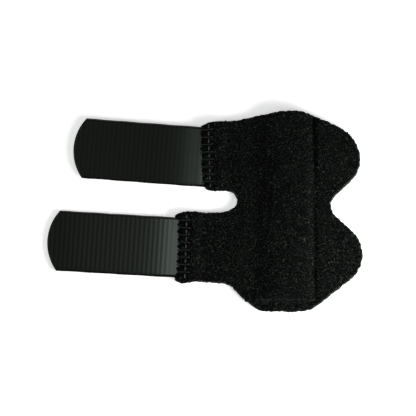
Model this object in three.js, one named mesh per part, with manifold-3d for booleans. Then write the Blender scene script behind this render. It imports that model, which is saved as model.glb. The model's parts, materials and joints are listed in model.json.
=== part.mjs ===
// A finger splint, lying open with its finger side down: a loop cloth wrap with two tabs and two wings,
// a flat stay in a sleeve down the middle of the wrap, and a strap of hook tape sewn into each tab.
// Millimetres, +Z up. +X runs from the strap tips to the wings, and +Y along the finger.

import * as THREE from "three";
import { mergeVertices } from "three/addons/utils/BufferGeometryUtils.js";
import Module from "manifold-3d";

const wasm = await Module();
wasm.setup();

// Clearance between a piece and the cloth round it
const clearance = 0.3;

// The cloth: a loop face, foam and a finger side, pressed together and rounded at the cut edge
const clothThickness = 2.8;
const layerThickness = 1.2;
const rimWidth = 1.0;
const rimHeight = 0.9;

// The stay, a flat metal strip along the finger
const stayWidth = 18;
const stayLength = 70;
const stayThickness = 1.5;
const stayCornerRadius = 5;
const stayEdge = 0.3;
const stayShift = -2.7;

// The sleeve that holds the stay: a raised band between two long seams, open at its upper end
const sleeveSide = 3.7;
const sleeveCrown = 0.9;
const shoulderDrop = 0.5;
const shoulderRun = 2.2;
const shoulderRadius = 2.4;
const crownRadius = 60;
const sleeveEndWall = 1.8;
const sleeveEndSlope = 1.3;
const sleeveEndRadius = 4;
const seamGrooveRadius = 0.8;
const seamGrooveDepth = 0.6;

// The hook tape straps
const strapWidth = 25;
const strapLength = 59.8;
const strapThickness = 1.3;
const strapTipRadius = 20;
const strapLead = 1.6;

// The tabs that take the straps
const tabMargin = 1.85;
const tabEarLength = 4.2;
const tabEarDrop = 1.0;
const tabEarWidth = 2.6;
const tabEarRadius = 1.8;
const tabCornerRadius = 4;
const slotWidth = 8.8;
const slotRadius = 4.3;
const seamRollRadius = 1.6;
const seamRampLength = 3;
const stitchInset = 2.7;
const stitchGrooveRadius = 0.5;
const scallopPitch = 3.1;
const scallopDepth = 0.35;

// Where the two straps differ: each tab's length from the slot's end, how far its ears reach past its end, how
// much of the strap is sewn in and how far off the tab's middle, how far the strap and the tab's end turn, and
// how long the strap takes to come down to the table
const upperTabLength = 14.1;
const upperEarReach = 1.2;
const upperStrapOverlap = 6.6;
const upperStrapShift = -0.2;
const upperStrapTurn = -4.5;
const upperEndTurn = 1.6;
const upperStrapDescent = 9;
const lowerTabLength = 23.7;
const lowerEarReach = 2;
const lowerStrapOverlap = 5.7;
const lowerStrapShift = -0.4;
const lowerStrapTurn = -3.6;
const lowerEndTurn = -1.4;
const lowerStrapDescent = 18;

// The rest of the outline, as the places where its straight edges would meet and the arcs that round them.
// Reaches run from the nearest long seam, heights from the slot's middle or the nearest end of the stay.
const webWidth = 6.2;
const shoulderReach = 3.2;
const shoulderRise = 0.9;
const shoulderBend = 25;
const crownLean = 5.3;
const crownLip = 6.3;
const crownRound = 21;
const upperWingReach = 27.6;
const upperWingHeight = 21.5;
const lowerWingReach = 26.1;
const lowerWingHeight = 22.5;
const wingRadius = 13;
const notchReach = 3.7;
const notchDrop = 1.8;
const notchRadius = 5.5;
const hemWidth = 6.2;
const footReach = 2.6;
const footRadius = 18;
const heelReach = 1.2;
const heelRadius = 5.8;
const ankleReach = 9.7;
const ankleRadius = 6;

// How finely round stretches are cut into flats, in degrees
const arcStep = 14;

const cutMargin = 5;
const tinyGap = 0.001;

const colours = {
  cloth: { color: 0x0f1110, roughness: 0.95, metalness: 0 },
  tape: { color: 0x1b1d1b, roughness: 0.45, metalness: 0 },
  metal: { color: 0xb9bcc0, roughness: 0.4, metalness: 1 },
};

// Sizes that follow from the ones above
const seamX = stayWidth / 2 + clearance + sleeveSide;
const slotEndX = -seamX - webWidth;
const tabWidth = strapWidth + 2 * tabMargin;
const stayTop = stayShift + stayLength / 2;
const stayFoot = stayShift - stayLength / 2;
const cavityFoot = stayFoot - clearance;
const sleeveFoot = cavityFoot - sleeveEndWall;
const hemFoot = sleeveFoot - hemWidth;
const cavityHeight = stayThickness + 2 * clearance;
const sleeveHeight = 2 * layerThickness + cavityHeight + sleeveCrown;
const strapSeat = layerThickness + clearance;
const seamHeight = 2 * layerThickness + strapThickness + 2 * clearance;

const tabs = [
  {
    name: "upper",
    side: 1,
    endX: slotEndX - upperTabLength,
    earReach: upperEarReach,
    strapOverlap: upperStrapOverlap,
    strapShift: upperStrapShift,
    strapTurn: THREE.MathUtils.degToRad(upperStrapTurn),
    endTurn: THREE.MathUtils.degToRad(upperEndTurn),
    descent: upperStrapDescent,
  },
  {
    name: "lower",
    side: -1,
    endX: slotEndX - lowerTabLength,
    earReach: lowerEarReach,
    strapOverlap: lowerStrapOverlap,
    strapShift: lowerStrapShift,
    strapTurn: THREE.MathUtils.degToRad(lowerStrapTurn),
    endTurn: THREE.MathUtils.degToRad(lowerEndTurn),
    descent: lowerStrapDescent,
  },
];

// Solids

// A closed geometry as a solid that can be joined and cut.
function solidOf(geometry) {
  const bare = geometry.clone();
  bare.deleteAttribute("normal");
  bare.deleteAttribute("uv");
  const merged = mergeVertices(bare);
  return new wasm.Manifold(
    new wasm.Mesh({
      numProp: 3,
      vertProperties: merged.attributes.position.array,
      triVerts: new Uint32Array(merged.index.array),
    }),
  );
}

// A solid as a geometry that can be drawn.
function geometryOf(solid) {
  const mesh = solid.getMesh();
  const geometry = new THREE.BufferGeometry();
  geometry.setAttribute("position", new THREE.BufferAttribute(new Float32Array(mesh.vertProperties), 3));
  geometry.setIndex(new THREE.BufferAttribute(new Uint32Array(mesh.triVerts), 1));
  const flat = geometry.toNonIndexed();
  flat.computeVertexNormals();
  return flat;
}

// An upright plate over an outline, from bottom to top, with both rims rounded by a width and a height.
function plate(points, bottom, top, roundWidth = 0, roundHeight = 0) {
  const geometry = new THREE.ExtrudeGeometry(new THREE.Shape(points), {
    depth: top - bottom - 2 * roundHeight,
    bevelEnabled: roundWidth > 0,
    bevelSize: roundWidth,
    bevelOffset: -roundWidth,
    bevelThickness: roundHeight,
    bevelSegments: 3,
  });
  return geometry.translate(0, 0, bottom + roundHeight);
}

// A bar that runs along Y from one place to another, with a profile drawn in X and Z.
function barAlongY(profile, from, to) {
  const geometry = new THREE.ExtrudeGeometry(new THREE.Shape(profile), {
    depth: to - from,
    bevelEnabled: false,
  });
  return geometry.rotateX(Math.PI / 2).translate(0, to, 0);
}

// A round rod along Y, centred on a point.
function rodAlongY(radius, length, x, y, z) {
  return new THREE.CylinderGeometry(radius, radius, length, 12).translate(x, y, z);
}

// Outlines

// The points of an arc from a start to an end round a centre, the short way.
function arcPoints(centre, start, end) {
  const from = start.clone().sub(centre);
  const to = end.clone().sub(centre);
  const turn = Math.atan2(from.cross(to), from.dot(to));
  const steps = Math.max(1, Math.ceil(Math.abs(turn) / THREE.MathUtils.degToRad(arcStep)));
  const curve = new THREE.EllipseCurve(
    centre.x, centre.y, from.length(), from.length(), from.angle(), from.angle() + turn, turn < 0,
  );
  return curve.getPoints(steps);
}

// The points of a closed outline whose corners are { x, y, radius }, walked anticlockwise. Where two arcs would
// overlap on an edge, both are made smaller.
function roundedOutline(corners) {
  const places = corners.map(({ x, y }) => new THREE.Vector2(x, y));
  const around = (i) => places[(i + places.length) % places.length];
  const bends = places.map((place, i) => {
    const back = around(i - 1).clone().sub(place);
    const ahead = around(i + 1).clone().sub(place);
    const half = Math.abs(Math.atan2(back.cross(ahead), back.dot(ahead))) / 2;
    return { back, ahead, half, reach: corners[i].radius / Math.tan(half), room: 1 };
  });
  bends.forEach((bend, i) => {
    const next = bends[(i + 1) % bends.length];
    const room = bend.ahead.length() / (bend.reach + next.reach);
    bend.room = Math.min(bend.room, room);
    next.room = Math.min(next.room, room);
  });
  const points = bends.flatMap(({ back, ahead, half, reach, room }, i) => {
    if (corners[i].radius === 0) return [places[i]];
    const held = reach * room;
    const start = back.clone().setLength(held).add(places[i]);
    const end = ahead.clone().setLength(held).add(places[i]);
    const inward = back.clone().normalize().add(ahead.clone().normalize());
    const centre = inward.setLength(held / Math.cos(half)).add(places[i]);
    return arcPoints(centre, start, end);
  });
  return points.filter((point, i) => point.distanceTo(points.at(i - 1)) > tinyGap);
}

// A rectangle with two rounded corners at its lower end.
function stripOutline(width, foot, top, radius) {
  return roundedOutline([
    { x: -width / 2, y: foot, radius },
    { x: width / 2, y: foot, radius },
    { x: width / 2, y: top, radius: 0 },
    { x: -width / 2, y: top, radius: 0 },
  ]);
}

// Where things sit

// The middle of a tab, along the finger.
function tabMiddle(tab) {
  return (tab.side * (slotWidth + tabWidth)) / 2;
}

// A tab's end in the wrap's frame: X runs away from the straps, and Y along the end.
function tabEndPlace(tab) {
  return new THREE.Matrix4()
    .makeRotationZ(tab.endTurn)
    .setPosition(tab.endX, tabMiddle(tab), 0);
}

// A strap in the wrap's frame: X = 0 is the tab's end, and the strap reaches out along -X.
function strapPlace(tab) {
  return new THREE.Matrix4()
    .makeRotationZ(tab.strapTurn)
    .setPosition(tab.endX, tabMiddle(tab) + tab.strapShift, 0);
}

// The wrap

// The corners of a tab's end, walked from +Y to -Y: two ears, and between them a row of scallops where the
// stitches pull the cloth in.
function tabEndCorners(tab) {
  const place = tabEndPlace(tab);
  const at = (x, y, radius) => {
    const point = new THREE.Vector3(x, y, 0).applyMatrix4(place);
    return { x: point.x, y: point.y, radius };
  };
  const scalloped = tabWidth - 2 * (tabEarDrop + tabEarWidth);
  const count = Math.max(2, Math.round(scalloped / scallopPitch));
  const pitch = scalloped / count;
  const scallops = Array.from({ length: count }, (_, i) => {
    const middle = scalloped / 2 - (i + 0.5) * pitch;
    return [at(0, middle + pitch / 4, 0), at(0, middle - pitch / 4, 0), at(scallopDepth, middle - pitch / 2, 0)];
  });
  const earTip = tabWidth / 2 - tabEarDrop;
  return [
    at(tabEarLength, tabWidth / 2, tabCornerRadius),
    at(-tab.earReach, earTip, tabEarRadius),
    at(scallopDepth, scalloped / 2, 0),
    ...scallops.flat(),
    at(-tab.earReach, -earTip, tabEarRadius),
    at(tabEarLength, -tabWidth / 2, tabCornerRadius),
  ];
}

// The cloth's outline, walked anticlockwise from the lower tab's outer edge.
function wrapOutline() {
  const [upper, lower] = tabs;
  const tabTop = slotWidth / 2 + tabWidth;
  return roundedOutline([
    ...tabEndCorners(lower),
    { x: -seamX - ankleReach, y: -tabTop, radius: ankleRadius },
    { x: -seamX + heelReach, y: hemFoot, radius: heelRadius },
    { x: seamX - footReach, y: hemFoot, radius: footRadius },
    { x: seamX + lowerWingReach, y: -lowerWingHeight, radius: wingRadius },
    { x: seamX + notchReach, y: -notchDrop, radius: notchRadius },
    { x: seamX + upperWingReach, y: upperWingHeight, radius: wingRadius },
    { x: crownLean, y: stayTop + crownLip, radius: crownRound },
    { x: -seamX - shoulderReach, y: tabTop + shoulderRise, radius: shoulderBend },
    ...tabEndCorners(upper),
    { x: slotEndX, y: slotWidth / 2, radius: slotRadius },
    { x: slotEndX, y: -slotWidth / 2, radius: slotRadius },
  ]);
}

// The raised band over the stay: a low arch with rounded shoulders, and a short slope at its closed end.
function raisedBand(outline) {
  const shoulderZ = sleeveHeight - shoulderDrop;
  const arch = roundedOutline([
    { x: -seamX, y: layerThickness, radius: 0 },
    { x: seamX, y: layerThickness, radius: 0 },
    { x: seamX, y: clothThickness - seamGrooveDepth, radius: 0 },
    { x: seamX - shoulderRun, y: shoulderZ, radius: shoulderRadius },
    { x: 0, y: sleeveHeight, radius: crownRadius },
    { x: -seamX + shoulderRun, y: shoulderZ, radius: shoulderRadius },
    { x: -seamX, y: clothThickness - seamGrooveDepth, radius: 0 },
  ]);
  const foot = stripOutline(2 * seamX, sleeveFoot, stayTop + crownLip + cutMargin, sleeveEndRadius);
  const band = solidOf(barAlongY(arch, sleeveFoot, stayTop + crownLip))
    .intersect(solidOf(plate(foot, 0, sleeveHeight, sleeveEndSlope, sleeveEndSlope)))
    .intersect(solidOf(plate(outline, 0, sleeveHeight, rimWidth, rimHeight)));
  return band;
}

// The thicker end of a tab, where the cloth's two layers close over the strap.
function seamRoll(tab, outline) {
  const inner = tab.strapOverlap + clearance + layerThickness;
  const profile = [
    [-cutMargin, 0],
    [inner + seamRampLength, 0],
    [inner + seamRampLength, clothThickness - seamGrooveDepth],
    [inner, seamHeight],
    [-cutMargin, seamHeight],
  ].map(([x, y]) => new THREE.Vector2(x, y));
  const bar = barAlongY(profile, -tabWidth / 2 - rimWidth, tabWidth / 2 + rimWidth);
  return solidOf(bar.applyMatrix4(tabEndPlace(tab))).intersect(
    solidOf(plate(outline, 0, seamHeight, seamRollRadius, seamRollRadius)),
  );
}

// The space for a strap's sewn end.
function strapPocket(tab) {
  const length = tab.strapOverlap + clearance + cutMargin;
  const box = new THREE.BoxGeometry(length, strapWidth + 2 * clearance, strapThickness + 2 * clearance);
  box.translate(tab.strapOverlap + clearance - length / 2, 0, strapSeat + strapThickness / 2);
  return solidOf(box.applyMatrix4(strapPlace(tab)));
}

// The line of stitches across a tab.
function stitchGroove(tab) {
  const rod = rodAlongY(stitchGrooveRadius, tabWidth + cutMargin, stitchInset, 0, seamHeight);
  return solidOf(rod.applyMatrix4(tabEndPlace(tab)));
}

// The grooves that the sleeve's long seams press into the cloth's upper face.
function seamGroove(side) {
  const length = 2 * (stayLength + crownLip + hemWidth);
  const z = clothThickness - seamGrooveDepth + seamGrooveRadius;
  return solidOf(rodAlongY(seamGrooveRadius, length, side * seamX, 0, z));
}

// The space for the stay, open at the crown.
function stayCavity() {
  const outline = stripOutline(
    stayWidth + 2 * clearance, cavityFoot, stayTop + crownLip + cutMargin, stayCornerRadius + clearance,
  );
  return solidOf(plate(outline, layerThickness, layerThickness + cavityHeight));
}

function makeWrap() {
  const outline = wrapOutline();
  let wrap = solidOf(plate(outline, 0, clothThickness, rimWidth, rimHeight));
  wrap = wrap.add(raisedBand(outline)).subtract(seamGroove(-1)).subtract(seamGroove(1)).subtract(stayCavity());
  for (const tab of tabs) {
    wrap = wrap.add(seamRoll(tab, outline)).subtract(strapPocket(tab)).subtract(stitchGroove(tab));
  }
  return named("cloth_wrap", geometryOf(wrap), colours.cloth);
}

// The stay

function makeStay() {
  const half = { x: stayWidth / 2, y: stayLength / 2, radius: stayCornerRadius };
  const outline = roundedOutline([
    { ...half, x: -half.x, y: -half.y },
    { ...half, y: -half.y },
    half,
    { ...half, x: -half.x },
  ]);
  const stay = named("stay", plate(outline, 0, stayThickness, stayEdge, stayEdge), colours.metal);
  stay.position.set(0, stayShift, layerThickness + clearance);
  return stay;
}

// The straps

// The strap's side view: level where it is sewn in, then down to the table in one smooth bend.
function strapProfile(tab) {
  const steps = 10;
  const under = [new THREE.Vector2(tab.strapOverlap, strapSeat)];
  for (let i = 0; i <= steps; i++) {
    const share = i / steps;
    const height = strapSeat * (1 - THREE.MathUtils.smoothstep(share, 0, 1));
    under.push(new THREE.Vector2(-strapLead - share * tab.descent, height));
  }
  under.push(new THREE.Vector2(tab.strapOverlap - strapLength - cutMargin, 0));
  const over = under.map((point) => point.clone().setY(point.y + strapThickness)).reverse();
  return [...over, ...under];
}

// The strap from above: straight sides and a tip cut to one arc.
function strapOutline(tab) {
  const half = strapWidth / 2;
  const radius = Math.max(strapTipRadius, half);
  const tipX = tab.strapOverlap - strapLength;
  const cornerX = tipX + radius - Math.sqrt(radius * radius - half * half);
  const corner = new THREE.Vector2(cornerX, half);
  const middle = new THREE.Vector2(tipX + radius, 0);
  const tip = new THREE.Vector2(tipX, 0);
  return [
    new THREE.Vector2(tab.strapOverlap, -half),
    new THREE.Vector2(tab.strapOverlap, half),
    ...arcPoints(middle, corner, tip),
    ...arcPoints(middle, tip, new THREE.Vector2(cornerX, -half)).slice(1),
  ];
}

function makeStrap(tab) {
  const side = solidOf(barAlongY(strapProfile(tab), -strapWidth, strapWidth));
  const above = solidOf(plate(strapOutline(tab), 0, strapSeat + strapThickness + cutMargin));
  const strap = named(`${tab.name}_strap`, geometryOf(side.intersect(above)), colours.tape);
  strap.applyMatrix4(strapPlace(tab));
  return strap;
}

// The whole splint

function named(name, geometry, finish) {
  const mesh = new THREE.Mesh(geometry, new THREE.MeshStandardMaterial(finish));
  mesh.name = name;
  return mesh;
}

const splint = new THREE.Group();
splint.name = "finger_splint";
splint.add(makeWrap(), makeStay(), ...tabs.map(makeStrap));

// The origin is under the middle of the splint's box, on the table.
const box = new THREE.Box3().setFromObject(splint);
const middle = box.getCenter(new THREE.Vector3());
splint.position.set(-middle.x, -middle.y, -box.min.z);

export default splint;
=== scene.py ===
# %% [markdown]
# # A finger splint, laid open
# The splint is a piece of black loop cloth with two tabs and two wings. A flat metal stay sits in a sleeve down
# its middle, and a strap of hook tape is sewn into each tab. The imported model gives every place and size, so the
# lesson starts by loading it.

# %% The imported model
import json
import math

import bmesh
import bpy
import numpy as np
from mathutils import Matrix, Vector

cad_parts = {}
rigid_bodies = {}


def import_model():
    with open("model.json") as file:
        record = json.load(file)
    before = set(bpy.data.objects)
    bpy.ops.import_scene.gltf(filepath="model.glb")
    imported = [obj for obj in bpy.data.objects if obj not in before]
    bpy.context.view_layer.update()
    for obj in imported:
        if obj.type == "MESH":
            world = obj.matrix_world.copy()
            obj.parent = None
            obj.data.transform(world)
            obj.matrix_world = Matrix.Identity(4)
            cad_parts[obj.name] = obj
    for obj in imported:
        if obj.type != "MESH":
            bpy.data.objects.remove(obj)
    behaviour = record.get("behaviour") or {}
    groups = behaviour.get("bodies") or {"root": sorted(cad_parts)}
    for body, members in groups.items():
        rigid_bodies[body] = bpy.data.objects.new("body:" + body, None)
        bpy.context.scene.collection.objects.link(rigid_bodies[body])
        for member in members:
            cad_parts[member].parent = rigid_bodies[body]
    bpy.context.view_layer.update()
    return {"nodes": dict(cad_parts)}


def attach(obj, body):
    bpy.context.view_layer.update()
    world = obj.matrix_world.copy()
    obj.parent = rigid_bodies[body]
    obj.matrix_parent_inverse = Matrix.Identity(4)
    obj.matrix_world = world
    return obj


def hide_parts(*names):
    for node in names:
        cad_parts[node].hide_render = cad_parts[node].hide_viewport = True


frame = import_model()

MM = 0.001

# %% [markdown]
# The two tabs are alike, so everything that is sewn to them is made once, in a tab's own measure: X = 0 is the
# tab's end, X grows into the cloth, and Y runs along the end. A matrix then puts it on the upper or the lower tab.
# The turn of the strap and that of the tab's end differ a little, as they do on a thing sewn by hand. Each strap
# also has its own slopes, in degrees, at places beyond the tab's end: it comes out of the tab high and lies down.

# %% The two tabs
TABS = {
    "upper": {"end": (-0.585, 22.973), "end_turn": 1.6, "strap_turn": -4.5, "strap_shift": -0.2,
              "overlap": 6.6, "rib": 0.0007,
              "slope_places": (-2, -1, 0, 1.4, 4.2, 6.6, 9.1, 14, 18.9, 43, 53),
              "slopes": (0, 7, 4.2, 3.2, 3.0, 2.6, 1.9, 1.0, 0.5, 0.3, 0.2)},
    "lower": {"end": (-10.185, -14.527), "end_turn": -1.4, "strap_turn": -3.6, "strap_shift": -0.4,
              "overlap": 5.7, "rib": 0.0032,
              "slope_places": (-2, 0, 1.9, 4.4, 6.9, 9.3, 14.2, 19.2, 28.8, 39, 49),
              "slopes": (0, 5, 4.6, 3.9, 3.2, 2.6, 1.9, 1.5, 1.1, 0.7, -0.1)},
}
STRAP_LENGTH, STRAP_WIDTH, STRAP_THICKNESS = 59.8, 25.0, 1.3
STRAP_TIP_RADIUS, STRAP_SEAT = 20.0, 1.5
TAB_WIDTH = 28.7
BAR_PITCH, BAR_COUNT = 21.5 / 7, 8
STITCH_INSET, BAR_REACH = 2.7, 4.5
SEAM_TOP, LIP_OUT = 4.3, 0.9
SLEEVE_X, SLEEVE_HALF, SLEEVE_FOOT = 32.715, 13.0, -36.9
OPENING_HALF, OPENING_FLOOR, OPENING_ROOF = 9.4, 1.0, 3.35


def end_place(tab):
    """The tab end's measure in the splint's, in metres."""
    x, y = tab["end"]
    return Matrix.Translation((x * MM, y * MM, 0)) @ Matrix.Rotation(math.radians(tab["end_turn"]), 4, "Z")


def strap_place(tab):
    """The strap's measure in the splint's, in metres."""
    x, y = tab["end"]
    move = Matrix.Translation((x * MM, (y + tab["strap_shift"]) * MM, 0))
    return move @ Matrix.Rotation(math.radians(tab["strap_turn"]), 4, "Z")


bar_lines = [(i - (BAR_COUNT - 1) / 2) * BAR_PITCH for i in range(BAR_COUNT)]
print("a bar of thread every", round(BAR_PITCH, 2), "mm at", [round(v, 2) for v in bar_lines])

# %% [markdown]
# A few helpers come next. The first puts a finished mesh in the scene: it rides on the body, takes a material and
# is smooth. The second makes many small things, such as loops of nap, from one small mesh: numpy multiplies the
# small mesh's points by a matrix for each copy, which is far quicker than copying it thousands of times.

# %% Putting meshes in the scene
def show(name, mesh, material, smooth=True):
    """A piece of the splint from a finished mesh."""
    piece = bpy.data.objects.new(name, mesh)
    bpy.context.scene.collection.objects.link(piece)
    if material:
        mesh.materials.clear()
        mesh.materials.append(material)
    mesh.polygons.foreach_set("use_smooth", [smooth] * len(mesh.polygons))
    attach(piece, "root")
    print(f"{name}: {len(mesh.vertices)} points, {len(mesh.polygons)} faces")
    return piece


def mesh_from(name, shape):
    """A mesh from a bmesh, which is then freed."""
    mesh = bpy.data.meshes.new(name)
    shape.to_mesh(mesh)
    shape.free()
    return mesh


def points_of(mesh):
    """A mesh's points as an array."""
    co = np.empty(len(mesh.vertices) * 3)
    mesh.vertices.foreach_get("co", co)
    return co.reshape(-1, 3)


def many(name, small, places):
    """One mesh that holds a copy of a small mesh at each matrix of an array."""
    points = points_of(small)
    corners = np.empty(len(small.loops), dtype=np.int32)
    small.loops.foreach_get("vertex_index", corners)
    starts = np.empty(len(small.polygons), dtype=np.int32)
    small.polygons.foreach_get("loop_start", starts)
    count, size = len(places), len(points)
    moved = np.einsum("kij,nj->kni", places[:, :3, :3], points) + places[:, None, :3, 3]
    mesh = bpy.data.meshes.new(name)
    mesh.vertices.add(count * size)
    mesh.vertices.foreach_set("co", moved.ravel())
    mesh.loops.add(count * len(corners))
    mesh.loops.foreach_set("vertex_index", (corners[None] + (np.arange(count) * size)[:, None]).ravel())
    mesh.polygons.add(count * len(starts))
    mesh.polygons.foreach_set("loop_start", (starts[None] + (np.arange(count) * len(corners))[:, None]).ravel())
    mesh.update(calc_edges=True)
    return mesh


def matrices(origins, across, along, up, sizes):
    """An array of matrices from places, three directions each, and a size each."""
    places = np.zeros((len(origins), 4, 4))
    for column, direction in enumerate((across, along, up)):
        places[:, :3, column] = direction * sizes[:, column:column + 1]
    places[:, :3, 3] = origins
    places[:, 3, 3] = 1
    return places


# %% [markdown]
# ## The light and the camera
# The splint lies on white, seen almost from above, from two metres away. The light is soft and comes mostly from
# the right, so the right side of the raised band and the lower right rim catch it. One more light hangs far above,
# a little left of the middle: it is what the glossy tape mirrors where it slopes up to the tabs.

# %% The camera
PIXEL = 0.41 * MM
ELEVATION = 80.0
DISTANCE = 2.0
tilt = math.radians(90 - ELEVATION)
aim = Vector((1.6, 1.9, 0)) * MM
camera_data = bpy.data.cameras.new("camera")
camera_data.sensor_width = 36
camera_data.lens = 36 * DISTANCE / (416 * PIXEL)
camera_data.clip_start = 0.01
camera = bpy.data.objects.new("camera", camera_data)
camera.location = aim + Vector((0, -math.sin(tilt), math.cos(tilt))) * DISTANCE
camera.rotation_euler = (tilt, 0, 0)
bpy.context.scene.collection.objects.link(camera)
bpy.context.scene.camera = camera
print("lens", round(camera_data.lens, 1), "mm at", DISTANCE, "m")

# %% The lights
def soft_light(name, direction, distance, size, power, colour=(1, 1, 1)):
    """A square light that faces the splint from a direction."""
    data = bpy.data.lights.new(name, "AREA")
    data.size = size
    data.energy = power
    data.color = colour
    light = bpy.data.objects.new(name, data)
    way = Vector(direction).normalized()
    light.location = way * distance
    light.rotation_euler = way.to_track_quat("Z", "Y").to_euler()
    bpy.context.scene.collection.objects.link(light)
    return light


soft_light("key", (0.80, -0.44, 0.42), 0.22, 0.14, 0.92)
soft_light("left", (-0.80, -0.30, 0.50), 0.80, 0.40, 1.7)
soft_light("back", (-0.10, 0.90, 0.50), 0.80, 0.40, 1.1)
soft_light("gleam", (-0.1725, 0.1745, 1.0), 8.0, 0.40, 10.3, (0.85, 1.0, 0.89))
world = bpy.data.worlds.new("studio")
world.use_nodes = True
world.node_tree.nodes["Background"].inputs["Color"].default_value = (1, 1, 1, 1)
world.node_tree.nodes["Background"].inputs["Strength"].default_value = 0.06
bpy.context.scene.world = world
bpy.context.scene.view_settings.view_transform = "Standard"

# %% [markdown]
# The floor is a plain white sheet, wide enough to fill every view, and lit a little from within, as a product
# photographer's table is, so that a black thing on it throws hardly any shadow. It isn't part of the splint.

# %% The floor
def plain_material(name, colour, roughness):
    """A material with its shader, ready for more nodes."""
    material = bpy.data.materials.new(name)
    material.use_nodes = True
    shader = material.node_tree.nodes["Principled BSDF"]
    shader.inputs["Base Color"].default_value = (*colour, 1)
    shader.inputs["Roughness"].default_value = roughness
    return material, material.node_tree, shader


floor_material, _, floor_shader = plain_material("white_floor", (0.93, 0.93, 0.93), 0.9)
floor_shader.inputs["Specular IOR Level"].default_value = 0.1
floor_shader.inputs["Emission Color"].default_value = (1, 1, 1, 1)
floor_shader.inputs["Emission Strength"].default_value = 0.5
floor_shape = bmesh.new()
bmesh.ops.create_grid(floor_shape, x_segments=1, y_segments=1, size=3.0)
bmesh.ops.translate(floor_shape, verts=floor_shape.verts, vec=(0, 0, -0.02 * MM))
floor_mesh = mesh_from("floor", floor_shape)
floor_mesh.materials.append(floor_material)
floor = bpy.data.objects.new("floor", floor_mesh)
bpy.context.scene.collection.objects.link(floor)

# %% [markdown]
# ## Finishes
# Black things are never one black. The cloth is a dull felted knit under its nap, the nap is nylon fibre with a
# little shine, and the tape is a tight glossy weave. Each material below reads Object coordinates, which are in
# metres here, so a noise scale of 1000 has a grain of about a millimetre.

# %% Node helpers
def node(tree, kind, inputs=None, **settings):
    """A new node with its settings and its unlinked inputs."""
    made = tree.nodes.new(kind)
    for key, value in settings.items():
        setattr(made, key, value)
    for key, value in (inputs or {}).items():
        made.inputs[key].default_value = value
    return made


def grain(tree, scale, detail=2.0, stretch=(1, 1, 1)):
    """Noise on the piece's own coordinates, with its grain longer one way if it is stretched."""
    place = node(tree, "ShaderNodeTexCoord")
    mapping = node(tree, "ShaderNodeMapping", {"Scale": stretch})
    noise = node(tree, "ShaderNodeTexNoise", {"Scale": scale, "Detail": detail})
    tree.links.new(place.outputs["Object"], mapping.inputs["Vector"])
    tree.links.new(mapping.outputs["Vector"], noise.inputs["Vector"])
    return noise.outputs["Fac"]


def between(tree, factor, dark, light, low=0.3, high=0.7):
    """A colour that goes from dark to light as the factor goes from low to high."""
    ramp = node(tree, "ShaderNodeValToRGB")
    ramp.color_ramp.elements[0].position = low
    ramp.color_ramp.elements[0].color = (*dark, 1)
    ramp.color_ramp.elements[1].position = high
    ramp.color_ramp.elements[1].color = (*light, 1)
    tree.links.new(factor, ramp.inputs["Fac"])
    return ramp.outputs["Color"]


def bump(tree, shader, height, strength, distance, under=None):
    """Relief from a height, on top of another relief if there is one."""
    relief = node(tree, "ShaderNodeBump", {"Strength": strength, "Distance": distance})
    tree.links.new(height, relief.inputs["Height"])
    if under:
        tree.links.new(under, relief.inputs["Normal"])
    tree.links.new(relief.outputs["Normal"], shader.inputs["Normal"])
    return relief.outputs["Normal"]


def rough(tree, shader, factor, low, high):
    """Roughness that goes from low to high with the factor."""
    span = node(tree, "ShaderNodeMapRange", {"To Min": low, "To Max": high})
    tree.links.new(factor, span.inputs["Value"])
    tree.links.new(span.outputs["Result"], shader.inputs["Roughness"])


# %% The cloth
felt, tree, shader = plain_material("loop_cloth", (0.006, 0.007, 0.0065), 0.9)
speck = grain(tree, 1900, 3)
tree.links.new(between(tree, speck, (0.0004, 0.0006, 0.0004), (0.0030, 0.0042, 0.0032), 0.42, 0.68),
               shader.inputs["Base Color"])
fuzz = bump(tree, shader, grain(tree, 650, 2), 0.5, 0.25 * MM)
bump(tree, shader, speck, 0.9, 0.22 * MM, fuzz)
rough(tree, shader, speck, 0.75, 1.0)
shader.inputs["Specular IOR Level"].default_value = 0.04

# The pressed edge: lighter than the cloth, and lighter still as a painted highlight for the light its rim catches.
cut_edge_with_painted_highlight, tree, shader = plain_material("pressed_edge_with_painted_highlight", (0.02, 0.025, 0.021), 0.7)
tree.links.new(between(tree, grain(tree, 1700, 2), (0.010, 0.0135, 0.011), (0.043, 0.054, 0.045), 0.38, 0.62),
               shader.inputs["Base Color"])
bump(tree, shader, grain(tree, 2200, 2), 0.6, 0.12 * MM)
shader.inputs["Specular IOR Level"].default_value = 0.2

# %% [markdown]
# The finger side is a smooth knit: fine ribs along the finger, from a wave texture, crossed by a little noise.

# %% The finger side
lining, tree, shader = plain_material("finger_side_knit", (0.010, 0.011, 0.011), 0.8)
place = node(tree, "ShaderNodeTexCoord")
ribs = node(tree, "ShaderNodeTexWave", {"Scale": 520.0, "Distortion": 1.2, "Detail": 2.0, "Detail Scale": 2.0},
            bands_direction="X")
tree.links.new(place.outputs["Object"], ribs.inputs["Vector"])
tree.links.new(between(tree, ribs.outputs["Fac"], (0.006, 0.007, 0.007), (0.015, 0.016, 0.016)),
               shader.inputs["Base Color"])
knit = bump(tree, shader, ribs.outputs["Fac"], 0.5, 0.12 * MM)
bump(tree, shader, grain(tree, 3000, 2, (1, 0.4, 1)), 0.4, 0.08 * MM, knit)
shader.inputs["Specular IOR Level"].default_value = 0.1

# %% The nap's fibre
# Random patches of lighter fibre: partly the nap's uneven tone, partly painted glints for the light that the loops
# catch.
fibre, tree, shader = plain_material("nap_fibre_with_painted_glints", (0.011, 0.013, 0.0115), 0.45)
tree.links.new(between(tree, grain(tree, 1300, 1), (0.0002, 0.0003, 0.0002), (0.062, 0.086, 0.070), 0.565, 0.645),
               shader.inputs["Base Color"])
shader.inputs["Specular IOR Level"].default_value = 0.15
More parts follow.
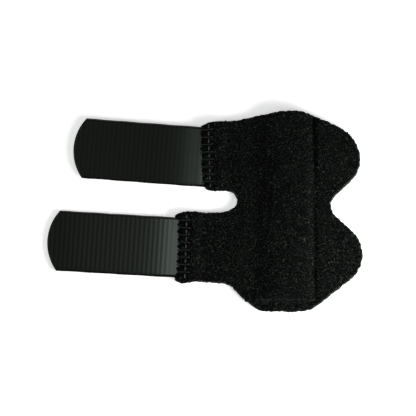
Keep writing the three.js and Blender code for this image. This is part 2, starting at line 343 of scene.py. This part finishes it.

# %% [markdown]
# The tape's back is woven so tightly that it looks like satin. Its warp runs along the strap as fine lines, and
# the cross ribs are in the mesh and are also painted into its colour as bands of light and shade. The pattern
# follows the strap's own UV map, because the straps are turned.

# %% The tape
def tape_finish(name, colour, roughness):
    """Tight black weave, with painted light and shade along its cross ribs, on a UV map laid out in millimetres."""
    material, tree, shader = plain_material(name, colour, roughness)
    uv = node(tree, "ShaderNodeUVMap", uv_map="weave")
    warp = node(tree, "ShaderNodeTexWave", {"Scale": 0.9, "Distortion": 0.15, "Detail": 1.0}, bands_direction="Y")
    weft = node(tree, "ShaderNodeTexWave", {"Scale": 1.1, "Distortion": 0.2, "Detail": 1.0}, bands_direction="X")
    weave = node(tree, "ShaderNodeMath", operation="MULTIPLY")
    for wave, socket in ((warp, 0), (weft, 1)):
        tree.links.new(uv.outputs["UV"], wave.inputs["Vector"])
        tree.links.new(wave.outputs["Fac"], weave.inputs[socket])
    # Bands of painted light and shade, one for each cross rib, mixed into the colour with the weave.
    ribs = node(tree, "ShaderNodeTexWave", {"Scale": 0.1653, "Distortion": 0.3, "Detail": 2.0}, bands_direction="X")
    tree.links.new(uv.outputs["UV"], ribs.inputs["Vector"])
    weave_and_painted_rib_shade = node(tree, "ShaderNodeMath", {1: 0.8}, operation="MULTIPLY_ADD")
    tree.links.new(ribs.outputs["Fac"], weave_and_painted_rib_shade.inputs[0])
    tree.links.new(weave.outputs["Value"], weave_and_painted_rib_shade.inputs[2])
    dark = tuple(0.4 * c for c in colour)
    light = tuple(1.25 * c for c in colour)
    tree.links.new(between(tree, weave_and_painted_rib_shade.outputs["Value"], dark, light, 0.0, 1.4), shader.inputs["Base Color"])
    bump(tree, shader, weave.outputs["Value"], 0.03, 0.04 * MM)
    return material, tree, shader


tape, tree, shader = tape_finish("hook_tape", (0.0052, 0.0065, 0.0047), 0.18)
shader.inputs["Specular IOR Level"].default_value = 0.3
hook_nylon, tree, shader = plain_material("hook_nylon", (0.012, 0.013, 0.012), 0.3)
rough(tree, shader, grain(tree, 900, 1), 0.22, 0.42)

# %% The threads
def thread_finish(name, dark, light, roughness):
    """Twisted thread: slanting bands, a lighter one between two darker ones."""
    material, tree, shader = plain_material(name, light, roughness)
    twist = node(tree, "ShaderNodeTexWave", {"Scale": 1500.0, "Distortion": 0.4}, bands_direction="DIAGONAL")
    place = node(tree, "ShaderNodeTexCoord")
    tree.links.new(place.outputs["Object"], twist.inputs["Vector"])
    tree.links.new(between(tree, twist.outputs["Fac"], dark, light), shader.inputs["Base Color"])
    bump(tree, shader, twist.outputs["Fac"], 0.5, 0.06 * MM)
    return material, shader


thread, shader = thread_finish("thread", (0.018, 0.021, 0.018), (0.046, 0.053, 0.046), 0.40)
shader.inputs["Specular IOR Level"].default_value = 0.6
bar_thread, shader = thread_finish("bar_thread", (0.0045, 0.0055, 0.0045), (0.014, 0.017, 0.015), 0.5)
shader.inputs["Specular IOR Level"].default_value = 0.3
dull_thread, shader = thread_finish("dull_thread", (0.004, 0.005, 0.004), (0.013, 0.017, 0.014), 0.6)
shader.inputs["Specular IOR Level"].default_value = 0.2

# %% The stay
metal, tree, shader = plain_material("rolled_aluminium", (0.72, 0.73, 0.75), 0.35)
shader.inputs["Metallic"].default_value = 1.0
drawn = grain(tree, 2500, 3, (1, 0.03, 1))
rough(tree, shader, drawn, 0.28, 0.5)
bump(tree, shader, drawn, 0.25, 0.02 * MM)
stay = frame["nodes"]["stay"]
stay.data.materials.clear()
stay.data.materials.append(metal)
print("materials:", [m.name for m in bpy.data.materials])

# %% [markdown]
# ## The cloth wrap
# The solid gives the wrap's outline, raised band, rims and pockets with hard edges. Cloth has none, so its mesh is
# copied, merged, and remeshed with small voxels: the result is one even skin that can be pushed about point by
# point, as a sculptor would.

# %% A skin over the solid
VOXEL = 0.42 * MM


def remeshed(node_object, voxel):
    """A node's solid as one even skin."""
    shape = bmesh.new()
    shape.from_mesh(node_object.data)
    bmesh.ops.remove_doubles(shape, verts=shape.verts, dist=0.001 * MM)
    copy = bpy.data.objects.new("copy", mesh_from("copy", shape))
    bpy.context.scene.collection.objects.link(copy)
    remesh = copy.modifiers.new("skin", "REMESH")
    remesh.mode = "VOXEL"
    remesh.voxel_size = voxel
    remesh.adaptivity = 0
    graph = bpy.context.evaluated_depsgraph_get()
    mesh = bpy.data.meshes.new_from_object(copy.evaluated_get(graph))
    bpy.data.objects.remove(copy)
    return mesh


skin = remeshed(frame["nodes"]["cloth_wrap"], VOXEL)
shape = bmesh.new()
shape.from_mesh(skin)
for _ in range(3):
    bmesh.ops.smooth_vert(shape, verts=shape.verts, factor=0.5, use_axis_x=True, use_axis_y=True, use_axis_z=True)
shape.to_mesh(skin)
shape.free()
print("skin:", len(skin.vertices), "points")

# %% [markdown]
# Now the skin is pushed about. Every push is a smooth bump, a number from 0 to 1 that falls off with distance, so
# they add up without creases. These are the shapes that the next cells push with.

# %% Shapes to push with
def fall(distance, width):
    """1 at no distance, and 0 far beyond the width."""
    return np.exp(-0.5 * (distance / width) ** 2)


def ease(value, low, high):
    """0 below low, 1 above high, smooth between."""
    share = np.clip((value - low) / (high - low), 0, 1)
    return share * share * (3 - 2 * share)


def in_measure(place, points):
    """Points in a tab's or a strap's own measure, in millimetres."""
    back = np.array(place.inverted())
    return (points @ back[:3, :3].T + back[:3, 3]) / MM


def drawn_out(u):
    """How far the tab's end is drawn out over the strap, in millimetres."""
    return LIP_OUT * ease(-u, -2.4, -0.2)


def waves(x, y, seed, lengths=(34, 23, 15, 11)):
    """An unevenness from -1 to 1, made of waves some millimetres long."""
    rng = np.random.default_rng(seed)
    total = np.zeros_like(x)
    for length in lengths:
        turn, phase = rng.uniform(0, 2 * math.pi, 2)
        total += np.sin((x * math.cos(turn) + y * math.sin(turn)) * 2 * math.pi / length + phase)
    return total / 4


# %% [markdown]
# First the cut. It strays from its pattern where the scissors did, so each row below shifts the outline: where it
# is, how far it goes and how far around it reaches, in millimetres. Shorter waves then roughen it all.

# %% The cut
CUT_SHIFTS = [  # x, y, shift in x, shift in y, reach
    (54.0, 37.0, 0.45, 0.65, 8.0), (9.0, -26.5, 0.0, -0.95, 5.5), (20.0, -41.0, 0.5, 0.7, 3.0),
    (29.0, -41.5, 0.0, 0.45, 6.0), (-9.5, -28.5, 0.0, -1.1, 2.2), (-9.0, -0.2, -0.2, 0.9, 3.2),
    (-0.8, 9.6, 0.0, -0.6, 3.0), (21.0, 36.5, 0.0, 0.7, 4.0), (63.0, 15.0, 0.3, 0.0, 5.0),
    (11.4, 0.8, -0.3, 0.8, 2.2), (17.0, -33.0, -0.3, -0.3, 3.0), (-10.8, -0.1, -1.7, -1.7, 1.3),
    (-10.5, -27.8, -1.0, 0.0, 1.5), (-0.8, 37.4, 0.1, -0.8, 1.3), (-1.0, 12.0, 0.5, 0.0, 1.7),
    (0.1, 8.3, 0.8, 0.8, 1.1),
]
points = points_of(skin)
solid_height = points[:, 2] / MM
for nx, ny, dx, dy, reach in CUT_SHIFTS:
    near = fall(np.hypot(points[:, 0] - nx * MM, points[:, 1] - ny * MM), reach * MM)
    points[:, :2] += near[:, None] * np.array([dx, dy]) * MM
x, y, z = points.T / MM
upper_side = ease(z, 0.9, 2.2)
foot = fall(y + 35.6, 2.6) * ease(-np.abs(x - SLEEVE_X), -12.5, -11) * upper_side
points[:, 1] -= 1.3 * foot * MM
y = points[:, 1] / MM
straying = 0.30 * ease(np.abs(np.abs(x - SLEEVE_X) - SLEEVE_HALF), 0.5, 2.5) * MM
for axis, seed in ((0, 7), (1, 8)):
    points[:, axis] += straying * waves(x, y, seed, (4.3, 2.9, 2.1, 1.6))
x, y = points[:, :2].T / MM
print("the cut strays in", len(CUT_SHIFTS), "places")

# %% [markdown]
# Then the heights. The foam swells and sags a little all over, which a few slow sine waves stand for. The wings
# slope away from the seam, the band has a crown and two shoulders, and a ridge closes its lower end.

# %% The band and the wings
lift = 0.10 * waves(x, y, 3)
lift += ease(x, 45.2, 46.6) * (0.32 - 0.075 * (x - 46) + 0.06 * np.clip(y - 12, 0, 22))
lift += ease(-x, -22, -18) * (0.25 - 0.025 * (20 - x))
crown = np.clip(1 - ((x - SLEEVE_X - 4.5) / 9.5) ** 2, 0, 1) * ease(z, 3.6, 4.2)
crown = crown * ease(y, SLEEVE_FOOT, SLEEVE_FOOT + 6)
lift += 0.55 * crown
for side, run in ((-1, 8.5), (1, 4.2)):
    depth = SLEEVE_HALF - side * (x - SLEEVE_X)
    slope = (2.25 if side > 0 else 2.5) + (2.85 if side > 0 else 2.4) * ease(depth, 0, run)
    on_slope = (depth > 0) & (depth < run) & (z > 1.9) & (y > SLEEVE_FOOT + 0.5)
    lift += np.where(on_slope, np.minimum(slope - z, 0), 0) * ease(y, SLEEVE_FOOT + 0.5, SLEEVE_FOOT + 3)
ridge = fall(y - SLEEVE_FOOT, 0.5) - 0.6 * fall(y - SLEEVE_FOOT + 1.6, 0.6)
lift += 0.40 * ridge * ease(-np.abs(x - SLEEVE_X), -12, -10)
lift *= upper_side
print("band and wings lifted by up to", round(lift.max(), 2), "mm")

# %% [markdown]
# At the tabs, thread pulls the cloth down along each bar and each stitch, and it puffs up between them. The upper
# layer's lip is drawn out over the strap in scallops, and the strap's hidden end shows as a low ridge.

# %% The tabs
for name, tab in TABS.items():
    u, v, _ = in_measure(end_place(tab), points).T
    near = ease(-np.abs(v), -TAB_WIDTH / 2 - 1, -TAB_WIDTH / 2 + 1) * ease(-u, -12, -7)
    top = ease(z, 2.4, 3.4) * near
    bars = sum(fall(v - line, 0.30) for line in bar_lines)
    puffs = np.cos((v / BAR_PITCH) * 2 * math.pi) * ease(-np.abs(v), -12.5, -10)
    lift -= top * 0.34 * bars * ease(u, -1, 0.5) * ease(-u, -BAR_REACH - 0.6, -BAR_REACH + 0.2)
    lift += top * 0.12 * puffs * fall(u - 1.2, 1.2)
    lift -= top * 0.22 * fall(u - STITCH_INSET, 0.38)
    lift += top * (0.16 * fall(u - tab["overlap"] - 0.1, 0.4) - 0.16 * fall(u - tab["overlap"] - 1.7, 0.8))
    lip = ease(z, 2.9, 3.1) * near * ease(-np.abs(v), -12.3, -11.8)
    lift -= 0.22 * lip * ease(-u, -1.6, 0.4)
    outward = 0.38 * puffs * fall(u, 1.0) + drawn_out(u)
    outward *= ease(-np.abs(v), -TAB_WIDTH / 2 - 1, -TAB_WIDTH / 2 + 1)
    outward *= np.maximum(ease(z, 1.6, 2.6), ease(np.abs(v), 12.8, 13.5))  # not the layer under the strap
    points -= outward[:, None] * MM * np.array(end_place(tab))[:3, 0]
print("scallops drawn out by up to", round(outward.max(), 2), "mm")

# %% [markdown]
# Last come the long seams, which are filled a little and dimpled by their stitches, and the skin is done.

# %% The long seams
seam = fall(np.abs(x - SLEEVE_X) - SLEEVE_HALF, 0.55) * ease(z, 1.6, 2.0)
left_seam = seam * (x < SLEEVE_X)
lift += 0.22 * seam + 0.08 * left_seam
lift += 0.05 * np.sin(y * 2 * math.pi / 2.6) * seam
points[:, 2] += lift * MM
skin.vertices.foreach_set("co", points.ravel())
skin.update()
print("lift from", round(lift.min(), 2), "to", round(lift.max(), 2), "mm")

# %% [markdown]
# The finger side gets its own material, on the faces that look down and touch the table. The cut edge is pressed
# and a little lighter, and its colour is lighter still as a painted highlight for the light its rim catches, so
# its faces get a third one: those that are low and steep, but not in the sleeve's opening or in the grooves of its
# seams.

# %% The wrap as a piece
wrap = show("loop_cloth_wrap", skin, felt)
skin.materials.append(lining)
normals = np.empty(len(skin.polygons) * 3)
skin.polygons.foreach_get("normal", normals)
centres = np.empty(len(skin.polygons) * 3)
skin.polygons.foreach_get("center", centres)
normals, centres = normals.reshape(-1, 3), centres.reshape(-1, 3)
underneath = (normals[:, 2] < -0.6) & (centres[:, 2] < 0.35 * MM)
corners = np.empty(len(skin.loops), dtype=np.int32)
skin.loops.foreach_get("vertex_index", corners)
height = solid_height[corners.reshape(-1, 4)].mean(1)
inside = (np.abs(centres[:, 0] / MM - SLEEVE_X) < OPENING_HALF) & (height > OPENING_FLOOR) & (height < OPENING_ROOF)
inside &= centres[:, 1] / MM > SLEEVE_FOOT + 1
from_seam = np.abs(np.abs(centres[:, 0] / MM - SLEEVE_X) - SLEEVE_HALF)
groove = (from_seam < 1.2) & (height > 1.25) & (np.abs(normals[:, 1]) < 0.35)
edge = (np.abs(normals[:, 2]) < 0.94) & (height < 2.45) & ~groove & ~underneath & ~inside
skin.materials.append(cut_edge_with_painted_highlight)
skin.polygons.foreach_set("material_index", underneath.astype(np.int32) + 2 * edge.astype(np.int32))
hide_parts("cloth_wrap")
print(int(underneath.sum()), "faces on the finger side")

# %% [markdown]
# ## The nap
# Loop cloth is covered in thousands of tiny loops of fibre for the hooks to catch. One loop is a thin
# three-sided tube, spun half a turn from a triangle. It is copied all over the outer face, each time at another
# turn, lean and size. They give the cloth its soft outline, which no bump could, and its speckle, together
# with the glints painted into the fibre's colour.

# %% One loop
def loop_mesh(radius, fibre_radius, steps):
    """A half ring of fibre that stands on its two ends."""
    shape = bmesh.new()
    ring = bmesh.ops.create_circle(shape, cap_ends=True, radius=fibre_radius, segments=3)["verts"]
    bmesh.ops.translate(shape, verts=ring, vec=(radius, 0, 0))
    bmesh.ops.spin(shape, geom=shape.faces[:] + shape.edges[:] + shape.verts[:], cent=(0, 0, 0), axis=(0, -1, 0),
                   angle=math.pi, steps=steps, use_duplicate=False)
    bmesh.ops.remove_doubles(shape, verts=shape.verts, dist=1e-7)
    bmesh.ops.holes_fill(shape, edges=[e for e in shape.edges if e.is_boundary], sides=3)
    bmesh.ops.recalc_face_normals(shape, faces=shape.faces)
    bmesh.ops.triangulate(shape, faces=shape.faces)
    return mesh_from("loop", shape)


loop = loop_mesh(0.32 * MM, 0.06 * MM, 4)
loop_box = points_of(loop)
print("one loop:", len(loop.polygons), "triangles,", np.ptp(loop_box, axis=0) / MM, "mm")

# %% Where the loops stand
def scattered(mesh, keep, density, seed):
    """Places and normals spread at random over some faces of a mesh, by their area."""
    rng = np.random.default_rng(seed)
    areas = np.empty(len(mesh.polygons))
    mesh.polygons.foreach_get("area", areas)
    normal = np.empty(len(mesh.polygons) * 3)
    mesh.polygons.foreach_get("normal", normal)
    centre = np.empty(len(mesh.polygons) * 3)
    mesh.polygons.foreach_get("center", centre)
    normal, centre = normal.reshape(-1, 3), centre.reshape(-1, 3)
    areas = np.where(keep(centre / MM, normal), areas / MM**2, 0)
    count = int(areas.sum() * density)
    chosen = rng.choice(len(areas), size=count, p=areas / areas.sum())
    spot = centre[chosen] + rng.uniform(-0.5, 0.5, (count, 3)) * VOXEL
    flat = normal[chosen]
    return spot - flat * ((spot - centre[chosen]) * flat).sum(1)[:, None], flat


def outer_face(centre, normal):
    """The faces that are napped: the outer face, but not under the stitches or in the sleeve's opening."""
    x, y, z = centre.T
    napped = (normal[:, 2] > 0.35) & (z > 1.1)
    inside_mouth = (np.abs(x - SLEEVE_X) < OPENING_HALF) & (z > OPENING_FLOOR) & (z < 2.2) & (y < 43) & (y > -35)
    napped &= ~inside_mouth & (np.abs(x - SLEEVE_X - SLEEVE_HALF) > 0.12)
    for tab in TABS.values():
        u, v, _ = in_measure(end_place(tab), centre * MM).T
        under_lip = (np.abs(v) < 13.2) & (u < 8) & (z < 3.2) & (u > -3)
        napped &= ~under_lip
        for line in bar_lines:
            napped &= ~((np.abs(v - line) < 0.28) & (u < BAR_REACH + 0.2))
        napped &= ~((np.abs(u - STITCH_INSET) < 0.3) & (np.abs(v) < 13.6))
        pressed = (u < BAR_REACH + 0.4) & (np.abs(v) < TAB_WIDTH / 2)
        napped &= ~(pressed & (np.sin(x * 91.7 + y * 57.3) > -0.1))
    return napped


rng = np.random.default_rng(12)
bare = edge & (rng.random(len(edge)) < 0.75)
spots, flats = scattered(skin, lambda centre, normal: outer_face(centre, normal) & ~bare, 5.3, 11)
count = len(spots)
lean = rng.normal(0, 0.42, (count, 3))
up = flats + lean
up /= np.linalg.norm(up, axis=1)[:, None]
turn = rng.normal(0, 1, (count, 3))
across = np.cross(up, turn)
across /= np.linalg.norm(across, axis=1)[:, None]
along = np.cross(up, across)
size = rng.uniform(0.75, 1.25, count)
sizes = np.stack([size * rng.uniform(0.8, 1.2, count), np.ones(count), size], axis=1)
places = matrices(spots - up * 0.05 * MM, across, along, up, sizes)
print(count, "loops,", count * len(loop.polygons), "triangles")

# %% [markdown]
# Each piece is kept under 190,000 triangles, so the nap is cut into patches of equal size by where the loops stand,
# from left to right.

# %% The nap in patches
nap_pieces = []
order = np.argsort(spots[:, 0])
patch_size = 190000 // len(loop.polygons)
patches = max(1, math.ceil(count / patch_size))
for number, chosen in enumerate(np.array_split(order, patches), 1):
    nap = show(f"nap_{number}", many(f"nap_{number}", loop, places[chosen]), fibre)
    nap_pieces.append(nap)

# %% [markdown]
# ## The straps
# Hook tape is a thin woven band with rows of small hooks on its face, which is underneath here. Its back shows
# cross ribs, one for each row of hooks. The band starts as a fine grid. The tip is cut to an arc by drawing the
# last stretch of the grid in, and the ribs are raised by place, so that they stay straight there.

# %% The band
BASE, EDGE_BAND = 0.5, 1.3
RIB_PITCH = 1.9
GRID = 0.24


def strap_height(u, tab):
    """How high the strap's underside is above the table."""
    steps = np.linspace(-2, 60, 249)
    slope = np.tan(np.radians(np.interp(steps, tab["slope_places"], tab["slopes"])))
    fallen = np.concatenate([[0], np.cumsum((slope[1:] + slope[:-1]) / 2 * np.diff(steps))])
    return np.maximum(STRAP_SEAT - np.interp(-u, steps, fallen), 0)


def band(name, tab):
    """The woven band of one strap, in the strap's own measure, in millimetres."""
    shape = bmesh.new()
    columns, rows = round(STRAP_LENGTH / GRID), 44
    bmesh.ops.create_grid(shape, x_segments=columns, y_segments=rows, size=0.5, calc_uvs=False)
    middle = tab["overlap"] - STRAP_LENGTH / 2
    bmesh.ops.scale(shape, verts=shape.verts, vec=(STRAP_LENGTH, STRAP_WIDTH, 1))
    bmesh.ops.translate(shape, verts=shape.verts, vec=(middle, 0, 0))
    tip = tab["overlap"] - STRAP_LENGTH
    for vert in shape.verts:
        pull = STRAP_TIP_RADIUS - math.sqrt(STRAP_TIP_RADIUS**2 - vert.co.y**2)
        share = max(0.0, 1 - (vert.co.x - tip) / 12)
        vert.co.x += pull * share
    top = shape.faces[:]
    low = bmesh.ops.extrude_face_region(shape, geom=top)
    low_verts = [g for g in low["geom"] if isinstance(g, bmesh.types.BMVert)]
    bmesh.ops.translate(shape, verts=low_verts, vec=(0, 0, BASE))
    bmesh.ops.recalc_face_normals(shape, faces=shape.faces)
    return mesh_from(name, shape)


def finish_band(mesh, tab, seed):
    """Ribs, edges and the bend of the strap, then its place."""
    points = points_of(mesh)
    u, v, w = points.T.copy()
    side = STRAP_WIDTH / 2 - np.abs(v)
    upper = w > BASE / 2
    rib = np.cos((u - tab["overlap"]) * 2 * math.pi / RIB_PITCH)
    rib = np.sign(rib) * np.abs(rib) ** 0.8
    body = ease(side, 0.4, EDGE_BAND)
    relief = tab["rib"] * rib * (0.25 + 0.75 * body)
    relief += 0.01 * fall(side - 0.7, 0.25)
    relief -= 0.16 * (1 - ease(side, 0, 0.35)) ** 2
    tip_side = u - (tab["overlap"] - STRAP_LENGTH + STRAP_TIP_RADIUS - np.sqrt(STRAP_TIP_RADIUS**2 - v**2))
    relief -= 0.14 * (1 - ease(tip_side, 0, 0.35)) ** 2
    w = w + np.where(upper, relief, -0.3 * relief)
    v = v + 0.05 * np.sin(u * 2 * math.pi / 13 + seed) * np.sign(v) * ease(-side, -2, 0)
    height = strap_height(u, tab) + STRAP_THICKNESS - BASE - 0.06
    w = w + height
    moved = np.stack([u, v, w], axis=1) * MM
    place = np.array(strap_place(tab))
    moved = moved @ place[:3, :3].T + place[:3, 3]
    uv = mesh.uv_layers.new(name="weave")
    corner = np.empty(len(mesh.loops), dtype=np.int32)
    mesh.loops.foreach_get("vertex_index", corner)
    uv.data.foreach_set("uv", np.stack([u, v], axis=1)[corner].ravel())
    mesh.vertices.foreach_set("co", moved.ravel())
    mesh.update()


for number, (name, tab) in enumerate(TABS.items()):
    mesh = band(f"{name}_strap_band", tab)
    finish_band(mesh, tab, 5 + number)
    show(f"{name}_strap_band", mesh, tape)
    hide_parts(f"{name}_strap")

# %% [markdown]
# One hook is a short stem that turns over at its top. It is a four-sided circle, extruded up and then spun most
# of a turn. The hooks stand in rows under the band, every other row facing the other way, and stop short of the
# woven edge, as on real tape.

# %% The hooks
def hook_mesh(height, radius, thickness):
    """A hook that hangs from z = 0."""
    shape = bmesh.new()
    bmesh.ops.create_circle(shape, cap_ends=True, radius=thickness, segments=4)
    stem = height - radius - thickness
    grown = bmesh.ops.extrude_face_region(shape, geom=shape.faces[:])
    tip_verts = [g for g in grown["geom"] if isinstance(g, bmesh.types.BMVert)]
    bmesh.ops.translate(shape, verts=tip_verts, vec=(0, 0, stem))
    tip = [f for f in shape.faces if all(v in tip_verts for v in f.verts)]
    bmesh.ops.spin(shape, geom=tip, cent=(radius, 0, stem), axis=(0, 1, 0), angle=math.radians(210), steps=6,
                   use_duplicate=False)
    bmesh.ops.remove_doubles(shape, verts=shape.verts, dist=1e-6)
    bmesh.ops.holes_fill(shape, edges=[e for e in shape.edges if e.is_boundary], sides=4)
    bmesh.ops.rotate(shape, verts=shape.verts, cent=(0, 0, 0), matrix=Matrix.Rotation(math.pi, 3, "X"))
    bmesh.ops.recalc_face_normals(shape, faces=shape.faces)
    return mesh_from("hook", shape)


HOOK_PITCH, HOOK_ROW = 1.35, 1.9
HOOK_HEIGHT = STRAP_THICKNESS - BASE - 0.02
hook = hook_mesh(HOOK_HEIGHT, 0.20, 0.085)
print("one hook:", len(hook.polygons), "faces,", np.ptp(points_of(hook), axis=0), "mm")


def hooks_of(name, tab):
    """All the hooks of one strap."""
    rng = np.random.default_rng(21)
    tip = tab["overlap"] - STRAP_LENGTH
    us = np.arange(tab["overlap"] - 0.9, tip + 2.2, -HOOK_ROW)
    vs = np.arange(-STRAP_WIDTH / 2 + 1.6, STRAP_WIDTH / 2 - 1.5, HOOK_PITCH)
    row, column = np.meshgrid(np.arange(len(us)), np.arange(len(vs)), indexing="ij")
    u = us[row].ravel()
    v = vs[column].ravel() + np.where(row.ravel() % 2, 0.35, -0.1)
    facing = np.where((row.ravel() + column.ravel()) % 2, 1.0, -1.0)
    arc = tip + STRAP_TIP_RADIUS - np.sqrt(STRAP_TIP_RADIUS**2 - v**2)
    keep = u > arc + 1.2
    u, v, facing = u[keep], v[keep], facing[keep]
    u = u + rng.uniform(-0.05, 0.05, len(u))
    base = strap_height(u, tab) + STRAP_THICKNESS - BASE
    slope = (strap_height(u + 0.05, tab) - strap_height(u - 0.05, tab)) / 0.1
    ahead = np.stack([np.ones_like(u), np.zeros_like(u), slope], axis=1)
    ahead /= np.linalg.norm(ahead, axis=1)[:, None]
    side = np.stack([np.zeros_like(u), np.ones_like(u), np.zeros_like(u)], axis=1)
    up = np.cross(ahead, side)
    local = matrices(np.stack([u, v, base], axis=1), side * facing[:, None], -ahead * facing[:, None], up,
                     np.ones((len(u), 3)))
    whole = np.array(strap_place(tab) @ Matrix.Diagonal((MM, MM, MM, 1)))
    return show(f"{name}_strap_hooks", many(f"{name}_strap_hooks", hook, whole[None] @ local), hook_nylon)


for name, tab in TABS.items():
    hooks_of(name, tab)

# %% [markdown]
# ## The sewing
# Each tab's end is closed by two kinds of stitch. A straight row lies in a groove, as dashes of thread. Bars of
# overcast thread run from beyond that row, over the cloth's edge and down to the strap. Every thread is a
# tapered tube: a circle extruded from place to place along the cloth.

# %% Thread
def thread_tube(name, paths, radius):
    """One mesh of thread tubes that follow lists of points, in millimetres, thin at both ends."""
    curve = bpy.data.curves.new(name, "CURVE")
    curve.dimensions = "3D"
    curve.bevel_depth = radius
    curve.bevel_resolution = 1
    curve.resolution_u = 3
    curve.use_fill_caps = True
    for path in paths:
        spline = curve.splines.new("BEZIER")
        spline.bezier_points.add(len(path) - 1)
        for knot, spot in zip(spline.bezier_points, path):
            knot.co = spot
            knot.handle_left_type = knot.handle_right_type = "AUTO"
        spline.bezier_points[0].radius = spline.bezier_points[-1].radius = 0.7
    holder = bpy.data.objects.new(name, curve)
    bpy.context.scene.collection.objects.link(holder)
    graph = bpy.context.evaluated_depsgraph_get()
    mesh = bpy.data.meshes.new_from_object(holder.evaluated_get(graph))
    bpy.data.objects.remove(holder)
    return mesh


def sewn(name, tab, paths, radius, finish):
    """Threads on a tab's end, put in the splint's measure."""
    mesh = thread_tube(name, paths, radius)
    mesh.transform(end_place(tab) @ Matrix.Diagonal((MM, MM, MM, 1)))
    return show(name, mesh, finish)


def dash_paths(rng):
    """The straight row: a dash between each two bars."""
    paths = []
    for number in range(-4, 5):
        v = number * BAR_PITCH
        half = 0.5 * BAR_PITCH - 0.82
        u = STITCH_INSET + rng.uniform(-0.08, 0.08)
        top = SEAM_TOP - 0.22
        paths.append([(u, v - half, top - 0.75), (u, v - half + 0.25, top - 0.05), (u, v, top + 0.12),
                      (u, v + half - 0.25, top - 0.05), (u, v + half, top - 0.75)])
    return paths


def bar_paths(rng):
    """The overcast bars: from inside the cloth, along its face, over its edge and down to the strap."""
    paths = []
    for line in bar_lines:
        v = line + rng.uniform(-0.06, 0.06)
        end = v + rng.uniform(-0.25, 0.25)
        reach = BAR_REACH + rng.uniform(-0.2, 0.25)
        paths.append([(reach, end, SEAM_TOP - 1.0), (reach - 0.25, end, SEAM_TOP - 0.30),
                      (STITCH_INSET + 0.3, v, SEAM_TOP - 0.22), (1.6 - drawn_out(1.6), v, SEAM_TOP - 0.26),
                      (0.65 - LIP_OUT, v, SEAM_TOP - 0.75), (0.22 - LIP_OUT, v, SEAM_TOP - 1.25),
                      (0.1 - LIP_OUT, v, 2.7)])
    return paths


sewing = []
for number, (name, tab) in enumerate(TABS.items()):
    rng = np.random.default_rng(31 + number)
    sewing.append(sewn(f"{name}_stitch_row", tab, dash_paths(rng), 0.25, thread))
    sewing.append(sewn(f"{name}_overcast_bars", tab, bar_paths(rng), 0.21, bar_thread))

# %% [markdown]
# The sleeve's long seams are sewn too, with short sunken stitches that only show from close by.

# %% The sleeve's seams
def seam_paths(side):
    """Short stitches in one long seam's groove."""
    paths = []
    x = SLEEVE_X + side * SLEEVE_HALF
    lift = 2.02 + (0.2 if side < 0 else 0)
    rim = points[np.abs(points[:, 0] / MM - x) < 0.3, 1] / MM
    for y in np.arange(rim.min() + 1.6, rim.max() - 3.4, 2.6):
        paths.append([(x, y, lift - 0.5), (x, y + 0.2, lift), (x, y + 1.0, lift + 0.06), (x, y + 1.8, lift),
                      (x, y + 2.0, lift - 0.5)])
    return paths


for side, name in ((-1, "left_sleeve_seam"), (1, "right_sleeve_seam")):
    mesh = thread_tube(name, seam_paths(side), 0.13)
    mesh.transform(Matrix.Diagonal((MM, MM, MM, 1)))
    sewing.append(show(name, mesh, dull_thread))

# %% [markdown]
# A row of stitches also closes the sleeve's lower end. It lies on a ridge of the cloth, so each stitch asks the
# skin how high it is there.

# %% The sleeve's lower end
def height_at(x, y):
    """How high the cloth's outer face is at a place, in millimetres."""
    near = np.hypot(points[:, 0] - x * MM, points[:, 1] - y * MM) < 0.5 * MM
    return points[near, 2].max() / MM


foot_paths = []
rng = np.random.default_rng(41)
for x in np.arange(20.4, 44.0, 2.5):
    x += rng.uniform(-0.2, 0.2)
    length = rng.uniform(1.3, 2.0)
    start, stop = SLEEVE_FOOT + rng.uniform(-0.2, 0.2, 2)
    heights = height_at(x, start), height_at(x + length, stop)
    middle = (x + length / 2, (start + stop) / 2, max(heights) + rng.uniform(0.02, 0.16))
    foot_paths.append([(x, start, heights[0] - 0.4), (x + 0.25, start, heights[0] + 0.06), middle,
                       (x + length - 0.25, stop, heights[1] + 0.06), (x + length, stop, heights[1] - 0.4)])
mesh = thread_tube("sleeve_foot_seam", foot_paths, 0.14)
mesh.transform(Matrix.Diagonal((MM, MM, MM, 1)))
sewing.append(show("sleeve_foot_seam", mesh, bar_thread))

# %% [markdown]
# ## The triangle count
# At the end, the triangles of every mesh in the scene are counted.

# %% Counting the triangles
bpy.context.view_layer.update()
triangles = sum(len(p.vertices) - 2 for o in bpy.data.objects if o.type == "MESH" for p in o.data.polygons)
print("triangles in all:", triangles)
